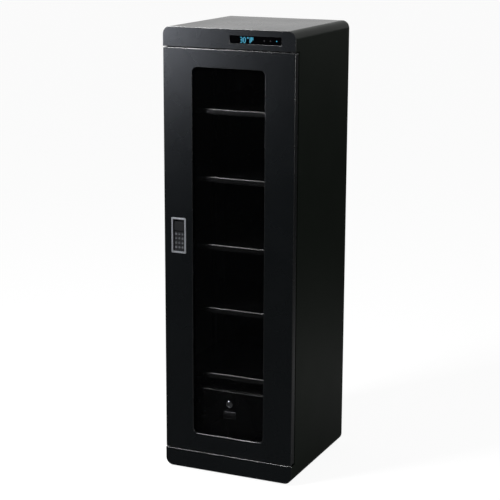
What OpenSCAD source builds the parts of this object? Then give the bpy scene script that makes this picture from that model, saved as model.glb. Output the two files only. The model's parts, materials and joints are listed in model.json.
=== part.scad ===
// Tall camera dry cabinet: a steel casing with one glazed door, a keypad lock, five shelves,
// a lockable drawer, a humidity display in the top fascia and a drying unit at the back.
// X runs to the right seen from the front, Y into the depth, Z up. The origin is at the middle of the base.

/* [Casing] */
// Width of the casing
shell_w = 401; // [385:1:430]
// Depth from the door's front to the back panel
shell_d = 406; // [395:1:460]
// Height of the casing above its feet
shell_h = 1291; // [1250:1:1400]
// Outer radius of the bends that run from front to back
corner_r = 22; // [14:1:28]
// Thickness of the steel sheet
sheet_t = 1.2; // [0.8:0.1:1.6]
// Height of the top fascia
band_h = 55; // [50:1:66]
// Height of the plinth fascia
plinth_h = 54; // [48:1:64]
// Width of the side flanges that the gasket closes on
flange_w = 24; // [22:1:27]
// Height of the flanges above and below the opening
sill_h = 22; // [20:1:26]
// Height of the feet
foot_h = 6; // [4:1:12]
// Radius of the feet
foot_r = 16; // [10:1:20]
// Distance of the feet's centres from the casing's sides
foot_inset = 60; // [40:1:90]

/* [Door] */
// Thickness of the door
door_t = 20; // [18:1:22]
// Gap between the door and the fascias
door_gap = 2.5; // [2:0.1:4]
// How far the door's sides stand back from the casing's
door_inset = 0.5; // [0.3:0.1:1]
// Space for the gasket behind the door
gasket_space = 5; // [4:0.5:8]
// Radius of the door's corners seen from the front
door_corner_r = 5; // [3:0.5:9]
// Rounding of the door's front edges
edge_r = 2; // [1:0.1:3]
// Width of the door frame beside the window
stile_w = 89.5; // [82:0.5:100]
// Height of the door frame above the window
rail_top = 52; // [44:1:70]
// Height of the door frame below the window
rail_bottom = 55; // [44:1:70]
// Radius of the window's corners
window_r = 15; // [8:1:24]
// Depth of the folded edge round the window
window_return = 6; // [5:0.5:7]
// Thickness of the glass
glass_t = 4; // [3:0.5:5]
// How far the glass laps behind the frame
glass_lap = 12; // [8:1:16]
// Width of the magnetic gasket
gasket_w = 10; // [8:0.5:11]
// Distance of the hinge pins from the door's right edge
pin_inset = 10; // [9:0.5:12]
// Radius of the hinge pins
pin_r = 4; // [3:0.1:4.5]
// How far the hinge pins reach into the door
pin_depth = 14; // [10:1:20]

/* [Keypad lock] */
// Width of the bezel
lock_w = 46; // [44:1:50]
// Height of the bezel
lock_h = 103; // [100:1:112]
// Distance of the lock's centre from the door's left edge
lock_side = 46; // [44:0.5:48]
// Height of the lock's centre above the casing's base
lock_z = 699.5; // [660:0.5:760]
// Width of the bezel's bars
bezel_bar = 5; // [4:0.5:6]
// Radius of the keys
key_r = 3; // [2.4:0.1:3.4]
// Distance between key columns
key_pitch_x = 10.1; // [9.4:0.1:10.5]
// Distance between key rows
key_pitch_z = 13; // [12:0.1:13.5]
// How far a key travels when pressed
key_travel = 1; // [0.6:0.1:1.2]
// How far the bolt slides out
bolt_travel = 12; // [8:1:14]

/* [Shelves] */
// Height of each shelf's top as a share of the casing's height, from the top down
shelf_height_shares = [0.8232, 0.673, 0.521, 0.376, 0.2225];
// How far the shelves' fronts stand behind the casing's front flanges
shelf_set = 20; // [18:1:40]
// Space between the shelves and the back panel
shelf_back_space = 40; // [20:1:60]
// Height of the shelves' front lip
lip_h = 18; // [15:0.5:20]
// Radius of the lip's rounded edges
lip_r = 5; // [3:0.5:7]
// Depth of the shelves' side flanges
shelf_flange_h = 12; // [9:0.5:14]
// Depth of the slotted standards on the side walls
standard_d = 8; // [6:0.5:10]
// Width of the slotted standards
standard_w = 20; // [16:1:26]
// Distance of the standards' middle from the shelves' front and back edges
standard_inset = 43; // [26:1:68]
// Distance between slots
slot_pitch = 20; // [16:1:24]

/* [Drawer] */
// Distance of the drawer's left edge from the casing's left side
drawer_left = 52.5; // [46:0.5:60]
// Distance of the drawer's right edge from the casing's right side
drawer_right = 70.5; // [66:0.5:80]
// Height of the drawer's front
drawer_h = 162; // [150:1:166]
// Gap under the drawer's front
drawer_sill = 4; // [3:0.5:6]
// How far the drawer's front stands behind the casing's front flanges
drawer_set = 5; // [4:0.5:8]
// Height of the drawer lock above the drawer's lower edge
drawer_lock_up = 123; // [116:1:126]
// Radius of the drawer lock's ring
drawer_lock_r = 11.5; // [10.5:0.5:13]
// Width of the finger pull
pull_w = 42; // [34:1:60]
// Height of the finger pull
pull_h = 26; // [20:1:34]
// Depth of the finger pull at its upper edge
pull_d = 9; // [6:0.5:10]

/* [Display] */
// Width of the display window
display_w = 155; // [140:1:170]
// Height of the display window
display_h = 22; // [20:0.5:24]
// Distance of the display window's right end from the casing's right side
display_side = 41.6; // [30:0.1:60]
// Drop of the display window's centre below the casing's top
display_drop = 28.5; // [27:0.5:30]
// Height of the figures
digit_h = 16; // [12:0.5:17]

/* [Drying unit] */
// Width of the drying unit
dryer_w = 140; // [120:1:170]
// Height of the drying unit
dryer_h = 140; // [130:1:150]
// Depth of the drying unit
dryer_d = 92; // [88:1:98]
// Width of the shutters
shutter_w = 28; // [24:1:30]
// Height of the shutters
shutter_h = 84; // [70:1:90]
// Angle at which the inner shutter stands open
shutter_open = 60; // [40:1:60]

/* [Hidden] */
KEY_COUNT = 12;

$fn = 48;
// Overrun of cuts past the faces that they open
over = 1;
// Gap between pieces that slide past each other
slip = 0.3;
// Gap between fitted pieces that don't move
fit_gap = 0.15;
// Radial clearance of pins in their bores
run_gap = 0.05;
// How far the bezel and the rear fittings stand proud of the casing
proud = 2;

// Levels
base_z = foot_h;
top_z = foot_h + shell_h;
plinth_z = foot_h + plinth_h;
band_z = top_z - band_h;
floor_z = plinth_z + sill_h;
ceiling_z = band_z - sill_h;
door_z0 = plinth_z + door_gap;
door_z1 = band_z - door_gap;
door_h = door_z1 - door_z0;

// Depths
front_y = -shell_d / 2;
back_y = shell_d / 2;
skin_y = front_y + sheet_t;
inner_back_y = back_y - sheet_t;
door_back_y = front_y + door_t;
body_y = door_back_y + gasket_space;
flange_back_y = body_y + sheet_t;

// Widths
half_w = shell_w / 2;
inner_half_w = half_w - sheet_t;
opening_half_w = inner_half_w - flange_w;
door_w = shell_w - 2 * door_inset;

// Door
window_w = door_w - 2 * stile_w;
window_z = door_z0 + rail_bottom;
window_h = door_h - rail_bottom - rail_top;
hinge_x = door_w / 2 - pin_inset;
hinge_y = front_y + door_t / 2;
glass_y = front_y + window_return;
glass_back_y = glass_y + glass_t;
inner_window_gap = 2;
inner_window_w = window_w + 2 * inner_window_gap;
inner_window_h = window_h + 2 * inner_window_gap;
inner_window_z = window_z - inner_window_gap;
gasket_side_gap = 0.75;
gasket_half_w = opening_half_w + gasket_w + gasket_side_gap;
gasket_up = (sill_h - door_gap - gasket_w) / 2;
gasket_z = door_z0 + gasket_up;
gasket_h = door_h - 2 * gasket_up;
bush_wall = 3;
bush_r = pin_r + bush_wall;
bush_flange_t = door_gap - slip;

// Keypad lock
lock_x = -door_w / 2 + lock_side;
lock_mid_z = base_z + lock_z;
bezel_lap = 2;
tray_cut_w = lock_w - 2 * bezel_lap;
tray_cut_h = lock_h - 2 * bezel_lap;
tray_w = tray_cut_w - 2 * fit_gap;
tray_h = tray_cut_h - 2 * fit_gap;
tray_d = 13;
tray_wall = 1.5;
pocket_w = lock_w - 2 * bezel_bar;
pocket_h = lock_h - 2 * bezel_bar;
pocket_d = 3;
key_floor_t = 2;
key_gap = 0.15;
key_up = 1.6;
key_flange = 0.9;
key_flange_t = 0.8;
key_margin = 8;
keys_z = lock_mid_z - pocket_h / 2 + key_margin + key_r;
key_columns = 3;
key_rows = KEY_COUNT / key_columns;
paddle_side = 3;
paddle_w = pocket_w - 2 * paddle_side;
paddle_t = 2.5;
paddle_drop = 8;
paddle_gap = 7;
paddle_pin_r = 1.5;
paddle_knuckle_r = 2.5;
paddle_under = 4.5;
paddle_set = 4.5;
paddle_proud = 0.2;
paddle_axis_y = front_y + paddle_set;
paddle_axis_z = keys_z + (key_rows - 1) * key_pitch_z + key_r + paddle_drop;
paddle_top_z = lock_mid_z + pocket_h / 2 - paddle_gap;
paddle_pit_y = front_y + tray_d - tray_wall;
case_w = 38;
case_shift = 2;
case_h = 96;
case_y = front_y + tray_d;
case_d = 24;
case_left_x = lock_x + case_shift - case_w / 2;
bolt_w = 8;
bolt_t = 6;
bolt_len = 20;
bolt_gap = 1;
bolt_y = flange_back_y + bolt_gap;

// Shelves
shelf_y = body_y + shelf_set;
shelf_back_y = inner_back_y - shelf_back_space;
standard_t = 1;
standard_x = inner_half_w - standard_d;
standard_ys = [shelf_y + standard_inset, shelf_back_y - standard_inset];
shelf_side_gap = 1.5;
shelf_half_w = standard_x - shelf_side_gap;
slot_w = 3;
slot_h = 9;
clip_ledge = 12;
clip_w = 14;
clip_t = 3;
standard_end = 5;

// Drawer
drawer_w = shell_w - drawer_left - drawer_right;
drawer_x = (drawer_left - drawer_right) / 2;
drawer_y = body_y + drawer_set;
drawer_z = floor_z + drawer_sill;
drawer_top_z = drawer_z + drawer_h;
drawer_return = 12;
housing_gap = 2;
housing_half_w = drawer_w / 2 + housing_gap;
housing_t = 1.2;
housing_set = 4;
housing_y = drawer_y + drawer_return + housing_set;
housing_back_gap = 15;
housing_back_y = inner_back_y - dryer_d - housing_back_gap;
cover_gap = 3;
cover_z = drawer_top_z + cover_gap;
cover_lip = 8;
runner_gap = 10;
runner_w = 8;
runner_h = 16;
runner_t = 1.5;
runner_up = 60;
runner_z = drawer_z + runner_up;
rail_reach = 8;
tray_half_w = housing_half_w - runner_gap;
drawer_wall = 1;
drawer_tray_h = 120;
tray_up = 2;
drawer_tray_z = drawer_z + tray_up;
tray_set = 26;
tray_front_y = drawer_y + tray_set;
tray_back_gap = 15;
tray_back_y = housing_back_y - tray_back_gap;
lock_up_z = drawer_z + drawer_lock_up;
barrel_r = 9;
barrel_len = 18;
plug_r = 6.5;
cam_t = 2;
cam_w = 10;
cam_len = 40;
pull_drop = 8;
pull_top_z = lock_up_z - drawer_lock_r - pull_drop;

// Display
display_x = half_w - display_side - display_w / 2;
display_z = top_z - display_drop;
display_flange = 3;
display_flange_t = 1.5;
segment_t = 0.5;
bar = digit_h / 8;
digit_w = digit_h / 2;
digit_inset = 31;
digit_x = display_x - display_w / 2 + digit_inset;
post_r = 2.5;
board_set = 10;
board_y = skin_y + board_set;
board_t = 1.6;
board_w = display_w - 2 * display_flange;
board_h = 40;

// Drying unit
dryer_y = inner_back_y - dryer_d;
dryer_wall = 2;
port_lap = 2;
port_w = shutter_w - 2 * port_lap;
port_h = shutter_h - 2 * port_lap;
port_z = floor_z + dryer_h / 2;
shutter_t = 1.5;
shutter_pin_r = 1.5;
shutter_set = 3;
boss = 8;
shutter_axis_x = -shutter_w / 2;
inner_axis_y = dryer_y + dryer_wall + shutter_set;
outer_axis_y = inner_back_y - dryer_wall - shutter_set;
pack_w = 110;
pack_d = 18;
pack_set = 34;
pack_y = dryer_y + pack_set;
heater_t = 3;
vent_w = 100;
vent_h = 120;
vent_slot_w = 80;
inlet_side = 70.5;
inlet_up = 38;
inlet_x = half_w - inlet_side;
inlet_z = base_z + inlet_up;
inlet_w = 30;
inlet_h = 22;
inlet_d = 20;

charcoal = [0.17, 0.18, 0.19];
black = [0.05, 0.05, 0.055];
dark = [0.1, 0.1, 0.11];
steel = [0.7, 0.71, 0.72];

// An XZ outline pushed from y0 to y1
module prism_y(y0, y1) {
    translate([0, y1, 0]) rotate([90, 0, 0]) linear_extrude(y1 - y0) children();
}

// A YZ outline pushed from x0 to x1
module prism_x(x0, x1) {
    translate([x0, 0, 0]) rotate([90, 0, 90]) linear_extrude(x1 - x0) children();
}

// A box between two corners
module block(low, high) {
    translate(low) cube(high - low);
}

// A cylinder along Y from y0 to y1
module rod_y(r, x, z, y0, y1) {
    translate([x, y0, z]) rotate([-90, 0, 0]) cylinder(r = r, h = y1 - y0);
}

// A cylinder along X from x0 to x1
module rod_x(r, y, z, x0, x1) {
    translate([x0, y, z]) rotate([0, 90, 0]) cylinder(r = r, h = x1 - x0);
}

// A plate outline, centred in X, with its foot at z; r_low and r_high round its lower and upper corners
module outline(w, z, h, r_low, r_high) {
    union() {
        translate([-w / 2, z + r_low]) square([w, h - r_low - r_high]);
        if (r_low > 0) {
            translate([-w / 2 + r_low, z]) square([w - 2 * r_low, 2 * r_low]);
            for (s = [-1, 1]) translate([s * (w / 2 - r_low), z + r_low]) circle(r_low);
        }
        if (r_high > 0) {
            translate([-w / 2 + r_high, z + h - 2 * r_high]) square([w - 2 * r_high, 2 * r_high]);
            for (s = [-1, 1]) translate([s * (w / 2 - r_high), z + h - r_high]) circle(r_high);
        }
    }
}

// The outline of the space inside the casing's sheet
module inside_outline() {
    r = corner_r - sheet_t;
    outline(2 * inner_half_w, base_z + sheet_t, shell_h - 2 * sheet_t, r, r);
}

// The casing's sheet seen from the front: a closed band with four bends
module casing_ring() {
    difference() {
        outline(shell_w, base_z, shell_h, corner_r, corner_r);
        inside_outline();
    }
}

// A side panel with its two bends and its front flange; side is -1 on the left and 1 on the right
module side_panel(side) {
    union() {
        difference() {
            prism_y(skin_y, back_y) intersection() {
                casing_ring();
                translate([side > 0 ? half_w - corner_r : -half_w, base_z]) square([corner_r, shell_h]);
            }
            block([-shell_w, front_y, plinth_z], [shell_w, body_y, band_z]);
        }
        mirror([side > 0 ? 0 : 1, 0, 0])
            block([opening_half_w, body_y, plinth_z], [inner_half_w + sheet_t / 2, flange_back_y, band_z]);
    }
}

module left_side_panel() {
    color(charcoal) side_panel(-1);
}

module right_side_panel() {
    color(charcoal) side_panel(1);
}

module top_panel() {
    x = half_w - corner_r;
    color(charcoal) block([-x, skin_y, top_z - sheet_t], [x, back_y, top_z]);
}

module bottom_panel() {
    x = half_w - corner_r;
    color(charcoal) block([-x, skin_y, base_z], [x, back_y, base_z + sheet_t]);
}

// The rear sheet, set inside the casing, with cut-outs for the drying unit's port and the power inlet
module back_panel() {
    color(charcoal) difference() {
        prism_y(inner_back_y, back_y) inside_outline();
        block([-port_w, inner_back_y - over, port_z - port_h / 2 - boss],
              [port_w, back_y + over, port_z + port_h / 2 + boss]);
        block([inlet_x - inlet_w / 2, inner_back_y - over, inlet_z - inlet_h / 2],
              [inlet_x + inlet_w / 2, back_y + over, inlet_z + inlet_h / 2]);
    }
}

// The upper front plate with its lower flange, the display cut-out and the upper hinge hole
module top_fascia() {
    color(charcoal) difference() {
        union() {
            prism_y(front_y, skin_y) outline(shell_w, band_z, band_h, 0, corner_r);
            block([-inner_half_w, skin_y, band_z], [inner_half_w, body_y, band_z + sheet_t]);
        }
        block([display_x - display_w / 2, front_y - over, display_z - display_h / 2],
              [display_x + display_w / 2, skin_y + over, display_z + display_h / 2]);
        translate([hinge_x, hinge_y, band_z - over]) cylinder(r = pin_r + fit_gap, h = sheet_t + 2 * over);
    }
}

// The lower front plate with its upper flange and the lower hinge hole
module plinth_fascia() {
    color(charcoal) difference() {
        union() {
            prism_y(front_y, skin_y) outline(shell_w, base_z, plinth_h, corner_r, 0);
            block([-inner_half_w, skin_y, plinth_z - sheet_t], [inner_half_w, body_y, plinth_z]);
        }
        translate([hinge_x, hinge_y, plinth_z - sheet_t - over])
            cylinder(r = pin_r + fit_gap, h = sheet_t + 2 * over);
    }
}

// The cabinet's floor with the flange under the opening
module floor_panel() {
    color(charcoal) union() {
        block([-inner_half_w, flange_back_y, floor_z - sheet_t], [inner_half_w, inner_back_y, floor_z]);
        block([-opening_half_w, body_y, plinth_z], [opening_half_w, flange_back_y, floor_z]);
    }
}

// The cabinet's ceiling with the flange above the opening
module ceiling_panel() {
    color(charcoal) union() {
        block([-inner_half_w, flange_back_y, ceiling_z], [inner_half_w, inner_back_y, ceiling_z + sheet_t]);
        block([-opening_half_w, body_y, ceiling_z], [opening_half_w, flange_back_y, band_z]);
    }
}

module feet() {
    color(black) for (x = [-1, 1], y = [-1, 1])
        translate([x * (half_w - foot_inset), y * (back_y - foot_inset), 0]) cylinder(r = foot_r, h = foot_h);
}

// Screws along the back panel's edges
screw_r = 3.5;
screw_head = 1.4;
screw_inset = 12;
screw_rows = 5;
screw_ends = 40;
module case_screws() {
    pitch = (shell_h - 2 * screw_ends) / (screw_rows - 1);
    color(steel) for (side = [-1, 1], i = [0 : screw_rows - 1])
        rod_y(screw_r, side * (inner_half_w - screw_inset), base_z + screw_ends + i * pitch,
              back_y, back_y + screw_head);
}

function shelf_z(i) = base_z + shelf_height_shares[i - 1] * shell_h;

// One slotted channel on a side wall, with three slots at each shelf
module standard(side, y) {
    x0 = side > 0 ? standard_x : -inner_half_w;
    hollow_x = side > 0 ? standard_x + standard_t : -inner_half_w - over;
    difference() {
        block([x0, y - standard_w / 2, floor_z + standard_end],
              [x0 + standard_d, y + standard_w / 2, ceiling_z - standard_end]);
        translate([hollow_x, y - standard_w / 2 + standard_t, floor_z])
            cube([standard_d - standard_t + over, standard_w - 2 * standard_t, ceiling_z - floor_z]);
        for (i = [1 : len(shelf_height_shares)], k = [-1, 0, 1])
            translate([x0 - over, y - slot_w / 2, shelf_z(i) - shelf_flange_h - slot_h + k * slot_pitch])
                cube([standard_d + 2 * over, slot_w, slot_h]);
    }
}

module shelf_standards() {
    color(dark) for (side = [-1, 1], y = standard_ys) standard(side, y);
}

// A clip hooked into a slot, with a ledge that carries a shelf's side flange
module shelf_clip(side, y, z) {
    hook_h = slot_h - 2 * slip;
    hook_w = slot_w - 2 * slip;
    hook_in = standard_t + clip_t;
    mirror([side > 0 ? 0 : 1, 0, 0]) union() {
        block([standard_x - over, y - hook_w / 2, z - slip - hook_h],
              [standard_x + hook_in, y + hook_w / 2, z - slip]);
        block([standard_x - clip_ledge, y - clip_w / 2, z - clip_t], [standard_x, y + clip_w / 2, z]);
    }
}

module shelf_clips() {
    color(steel) for (i = [1 : len(shelf_height_shares)], side = [-1, 1], y = standard_ys)
        shelf_clip(side, y, shelf_z(i) - shelf_flange_h);
}

// The shelf's front lip seen from the side: a rounded box section bent from the sheet
module lip_outline(r, h) {
    union() {
        translate([0, -h + r]) square([2 * r, h - 2 * r]);
        translate([r, -r]) circle(r);
        translate([r, -h + r]) circle(r);
        translate([r, -2 * r]) square([r, 2 * r]);
    }
}

// A shelf: a tray of sheet with a rounded front lip and side and rear flanges turned down
module shelf(i) {
    z = shelf_z(i);
    color(charcoal) union() {
        prism_x(-shelf_half_w, shelf_half_w) translate([shelf_y, z]) lip_outline(lip_r, lip_h);
        block([-shelf_half_w, shelf_y + lip_r, z - sheet_t], [shelf_half_w, shelf_back_y, z]);
        for (x = [-shelf_half_w, shelf_half_w - sheet_t])
            block([x, shelf_y + lip_r, z - shelf_flange_h], [x + sheet_t, shelf_back_y, z]);
        block([-shelf_half_w, shelf_back_y - sheet_t, z - shelf_flange_h], [shelf_half_w, shelf_back_y, z]);
    }
}

// Segments of a figure in the order top, upper left, upper right, middle, lower left, lower right, bottom
module figure_bars(x, lit) {
    half = digit_h / 2;
    gap = bar / 4;
    upright = half - bar - 2 * gap;
    across = digit_w - 2 * bar;
    for (k = [0, 3, 6]) if (lit[k])
        translate([x + bar, (1 - k / 3) * (half - bar / 2) - bar / 2]) square([across, bar]);
    for (k = [1, 2, 4, 5]) if (lit[k])
        translate([x + (k % 3 == 2 ? digit_w - bar : 0), (k < 3 ? 0 : -upright - 2 * gap) + gap])
            square([bar, upright]);
}

// Everything that lights up in the display, seen from the front, about the window's middle height
module lit_marks() {
    mark = digit_h / 4;
    figure_bars(digit_x, [true, false, true, true, false, true, true]);
    figure_bars(digit_x + digit_w + bar, [true, true, true, false, true, true, true]);
    icon_x = digit_x + 2 * digit_w + 3 * bar;
    translate([icon_x, digit_h / 2 - mark]) difference() {
        square([mark, mark]);
        translate([bar / 2, bar / 2]) square([mark - bar, mark - bar]);
    }
    for (k = [0:2]) translate([icon_x + mark + bar * 2 + k * bar * 2, -digit_h / 2 + k * mark])
        square([bar, digit_h - k * mark]);
    translate([touch_x(2), 0]) circle(touch_r);
}

// Touch marks right of the figures
touch_r = 1.5;
touch_pitch = 18.2;
touch_first = 26.4;
function touch_x(k) = display_x + touch_first + k * touch_pitch;

// The black window: a plate flush with the fascia, a flange behind it and posts for the board
module display_window() {
    color(black) difference() {
        union() {
            block([display_x - display_w / 2 + fit_gap, front_y, display_z - display_h / 2 + fit_gap],
                  [display_x + display_w / 2 - fit_gap, skin_y + display_flange_t,
                   display_z + display_h / 2 - fit_gap]);
            block([display_x - display_w / 2 - display_flange, skin_y,
                   display_z - display_h / 2 - display_flange],
                  [display_x + display_w / 2 + display_flange, skin_y + display_flange_t,
                   display_z + display_h / 2 + display_flange]);
            for (x = [-1, 1], z = [-1, 1])
                rod_y(post_r, display_x + x * (display_w / 2 - 2 * display_flange),
                      display_z + z * (display_h / 2 - post_r), skin_y, board_y);
        }
        prism_y(front_y - over, front_y + segment_t) translate([0, display_z]) lit_marks();
    }
}

module display_segments() {
    color([0.3, 0.8, 1]) prism_y(front_y, front_y + segment_t) translate([0, display_z]) lit_marks();
}

// The board behind the display with its chips and connectors
module control_board() {
    chip_h = 2;
    connector = [18, 9, 8];
    color([0.1, 0.3, 0.18]) union() {
        block([display_x - board_w / 2, board_y, display_z - board_h / 2],
              [display_x + board_w / 2, board_y + board_t, display_z + board_h / 2 - display_flange * 2]);
        for (k = [-1, 0, 1])
            translate([display_x + k * board_w / 4 - chip_h * 2, board_y + board_t, display_z - chip_h * 2])
                cube([chip_h * 4, chip_h, chip_h * 4]);
        translate([display_x - board_w / 2 + connector[1], board_y + board_t, display_z - board_h / 4])
            cube(connector);
    }
}

// A slotted box under the ceiling that senses the humidity
module humidity_sensor() {
    sensor = [30, 20, 10];
    at = [-half_w / 2, 0, ceiling_z - sensor[2]];
    slots = 4;
    slot = sensor[0] / (2 * slots + 1);
    color([0.85, 0.86, 0.86]) translate(at) difference() {
        cube(sensor);
        for (k = [0 : slots - 1]) translate([slot * (2 * k + 1), -over, sensor[2] / 4])
            cube([slot, sensor[1] + 2 * over, sensor[2] / 2]);
    }
}

// A hinge pin on its bracket; up is 1 when the pin points up into the door
bracket_t = 3;
module hinge_pin(face_z, up) {
    tip = door_gap + pin_depth;
    translate([hinge_x, hinge_y, face_z]) mirror([0, 0, up > 0 ? 0 : 1]) union() {
        translate([0, 0, -sheet_t - bracket_t]) cylinder(r = pin_r, h = tip + sheet_t + bracket_t);
        translate([-flange_w, skin_y - hinge_y, -sheet_t - bracket_t])
            cube([flange_w + inner_half_w - hinge_x, door_t - 2 * sheet_t, bracket_t]);
    }
}

module upper_hinge_pin() {
    color(steel) hinge_pin(band_z, -1);
}

module lower_hinge_pin() {
    color(steel) hinge_pin(plinth_z, 1);
}

// The bushes in the door's top and bottom edges, each with a flange that fills the gap to the fascia
module hinge_bush() {
    bush_len = pin_depth + 2;
    difference() {
        union() {
            cylinder(r = bush_r, h = bush_len);
            translate([0, 0, -bush_flange_t]) cylinder(r = bush_r + 1, h = bush_flange_t);
        }
        translate([0, 0, -bush_flange_t - over])
            cylinder(r = pin_r + run_gap, h = bush_len + bush_flange_t + 2 * over);
    }
}

module hinge_bushes() {
    color(dark) for (up = [0, 1]) translate([hinge_x, hinge_y, up > 0 ? door_z1 : door_z0])
        mirror([0, 0, up]) hinge_bush();
}

// The door's outer block with rounded front edges
module door_slab() {
    intersection() {
        prism_y(front_y, door_back_y) outline(door_w, door_z0, door_h, door_corner_r, door_corner_r);
        translate([0, 0, door_z0]) linear_extrude(door_h) union() {
            translate([-door_w / 2, front_y + edge_r]) square([door_w, door_t - edge_r]);
            translate([-door_w / 2 + edge_r, front_y]) square([door_w - 2 * edge_r, 2 * edge_r]);
            for (s = [-1, 1]) translate([s * (door_w / 2 - edge_r), front_y + edge_r]) circle(edge_r);
        }
        prism_x(-door_w / 2, door_w / 2) union() {
            translate([front_y + edge_r, door_z0]) square([door_t - edge_r, door_h]);
            translate([front_y, door_z0 + edge_r]) square([2 * edge_r, door_h - 2 * edge_r]);
            for (z = [door_z0 + edge_r, door_z1 - edge_r]) translate([front_y + edge_r, z]) circle(edge_r);
        }
    }
}

// The keypad lock's cut through the door's sheets
module lock_cut(w, h, x, y0, y1) {
    block([x - w / 2, y0, lock_mid_z - h / 2], [x + w / 2, y1, lock_mid_z + h / 2]);
}

// The door's outer sheet: a pan with a folded edge round the window
module door_frame() {
    color(charcoal) difference() {
        door_slab();
        difference() {
            prism_y(skin_y, door_back_y + over)
                outline(door_w - 2 * sheet_t, door_z0 + sheet_t, door_h - 2 * sheet_t,
                        door_corner_r - sheet_t, door_corner_r - sheet_t);
            prism_y(front_y, glass_y)
                outline(window_w + 2 * sheet_t, window_z - sheet_t, window_h + 2 * sheet_t,
                        window_r + sheet_t, window_r + sheet_t);
        }
        prism_y(front_y - over, door_back_y + over) outline(window_w, window_z, window_h, window_r, window_r);
        lock_cut(tray_cut_w, tray_cut_h, lock_x, front_y - over, skin_y + over);
        translate([hinge_x, hinge_y, door_z0 - over]) cylinder(r = bush_r, h = sheet_t + 2 * over);
        translate([hinge_x, hinge_y, door_z1 - sheet_t - over]) cylinder(r = bush_r, h = sheet_t + 2 * over);
    }
}

// The sheet that closes the door's back and holds the glass
module door_inner_frame() {
    pan_w = door_w - 2 * sheet_t;
    pan_h = door_h - 2 * sheet_t;
    color(dark) difference() {
        union() {
            prism_y(door_back_y - sheet_t, door_back_y)
                outline(pan_w, door_z0 + sheet_t, pan_h, door_corner_r - sheet_t, door_corner_r - sheet_t);
            prism_y(glass_back_y, door_back_y)
                outline(inner_window_w + 2 * sheet_t, inner_window_z - sheet_t, inner_window_h + 2 * sheet_t,
                        window_r + sheet_t, window_r + sheet_t);
        }
        prism_y(glass_back_y - over, door_back_y + over)
            outline(inner_window_w, inner_window_z, inner_window_h, window_r, window_r);
        lock_cut(case_w + 2 * slip, case_h + 2 * slip, lock_x + case_shift, glass_back_y, door_back_y + over);
    }
}

module door_glass() {
    color([0.1, 0.11, 0.12, 0.5]) prism_y(glass_y, glass_back_y)
        outline(window_w + 2 * glass_lap, window_z - glass_lap, window_h + 2 * glass_lap, window_r, window_r);
}

// The magnetic gasket that closes on the casing's flanges
module door_gasket() {
    color(black) prism_y(door_back_y, body_y - slip) difference() {
        translate([-gasket_half_w, gasket_z]) square([2 * gasket_half_w, gasket_h]);
        translate([-gasket_half_w + gasket_w, gasket_z + gasket_w])
            square([2 * (gasket_half_w - gasket_w), gasket_h - 2 * gasket_w]);
    }
}

// The bright frame round the keypad
module keypad_bezel() {
    r = bezel_bar / 2;
    z = lock_mid_z - lock_h / 2;
    color(steel) prism_y(front_y - proud, front_y) translate([lock_x, 0]) difference() {
        outline(lock_w, z, lock_h, r, r);
        outline(pocket_w, z + bezel_bar, pocket_h, r / 2, r / 2);
    }
}

function key_x(i) = lock_x + (i % key_columns - (key_columns - 1) / 2) * key_pitch_x;
function key_z(i) = keys_z + (key_rows - 1 - floor(i / key_columns)) * key_pitch_z;

// The dark tray behind the bezel, with the key bores and the pit behind the paddle
module keypad_tray() {
    pocket_y = front_y + pocket_d;
    floor_back_y = pocket_y + key_floor_t;
    tray_back = front_y + tray_d;
    pit_z = paddle_axis_z - paddle_under;
    color(black) difference() {
        lock_cut(tray_w, tray_h, lock_x, front_y, tray_back);
        lock_cut(pocket_w, pocket_h, lock_x, front_y - over, pocket_y);
        block([lock_x - tray_w / 2 + tray_wall, floor_back_y, lock_mid_z - tray_h / 2 + tray_wall],
              [lock_x + tray_w / 2 - tray_wall, tray_back + over, pit_z - tray_wall]);
        block([lock_x - paddle_w / 2 - slip, front_y, pit_z],
              [lock_x + paddle_w / 2 + slip, paddle_pit_y, lock_mid_z + pocket_h / 2]);
        rod_x(paddle_pin_r + run_gap, paddle_axis_y, paddle_axis_z,
              lock_x - paddle_w / 2 - slip - tray_wall, lock_x + paddle_w / 2 + slip + tray_wall);
        for (i = [0 : KEY_COUNT - 1])
            rod_y(key_r + key_gap, key_x(i), key_z(i), pocket_y - over, floor_back_y + over);
    }
}

// The switch board behind the keys
module keypad_board() {
    y = front_y + pocket_d + key_floor_t + slip + key_flange_t + key_travel + slip;
    pit_z = paddle_axis_z - paddle_under;
    color([0.1, 0.3, 0.18])
        block([lock_x - tray_w / 2 + tray_wall, y, lock_mid_z - tray_h / 2 + tray_wall],
              [lock_x + tray_w / 2 - tray_wall, y + board_t, pit_z - tray_wall]);
}

// One round key with the flange that keeps it in the tray
module key(i) {
    flange_y = front_y + pocket_d + key_floor_t + slip;
    color(steel) union() {
        rod_y(key_r, key_x(i), key_z(i), front_y + pocket_d - key_up, flange_y + key_flange_t);
        rod_y(key_r + key_flange, key_x(i), key_z(i), flange_y, flange_y + key_flange_t);
    }
}

// The blank plate above the keys that flips out as a handle
module pull_paddle() {
    plate_y = paddle_axis_y - paddle_t - paddle_proud;
    pin_half = paddle_w / 2 + slip + tray_wall - fit_gap;
    color(dark) union() {
        rod_x(paddle_knuckle_r, paddle_axis_y, paddle_axis_z, lock_x - paddle_w / 2, lock_x + paddle_w / 2);
        rod_x(paddle_pin_r, paddle_axis_y, paddle_axis_z, lock_x - pin_half, lock_x + pin_half);
        block([lock_x - paddle_w / 2, plate_y, paddle_axis_z - paddle_knuckle_r / 2],
              [lock_x + paddle_w / 2, plate_y + paddle_t, paddle_top_z]);
    }
}

// The case on the door's inner side that holds the bolt and its motor
module lock_case() {
    color(dark) difference() {
        lock_cut(case_w, case_h, lock_x + case_shift, case_y, case_y + case_d);
        block([case_left_x - over, bolt_y - fit_gap, lock_mid_z - bolt_w / 2 - fit_gap],
              [case_left_x + bolt_len + slip, bolt_y + bolt_t + fit_gap, lock_mid_z + bolt_w / 2 + fit_gap]);
    }
}

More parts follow.
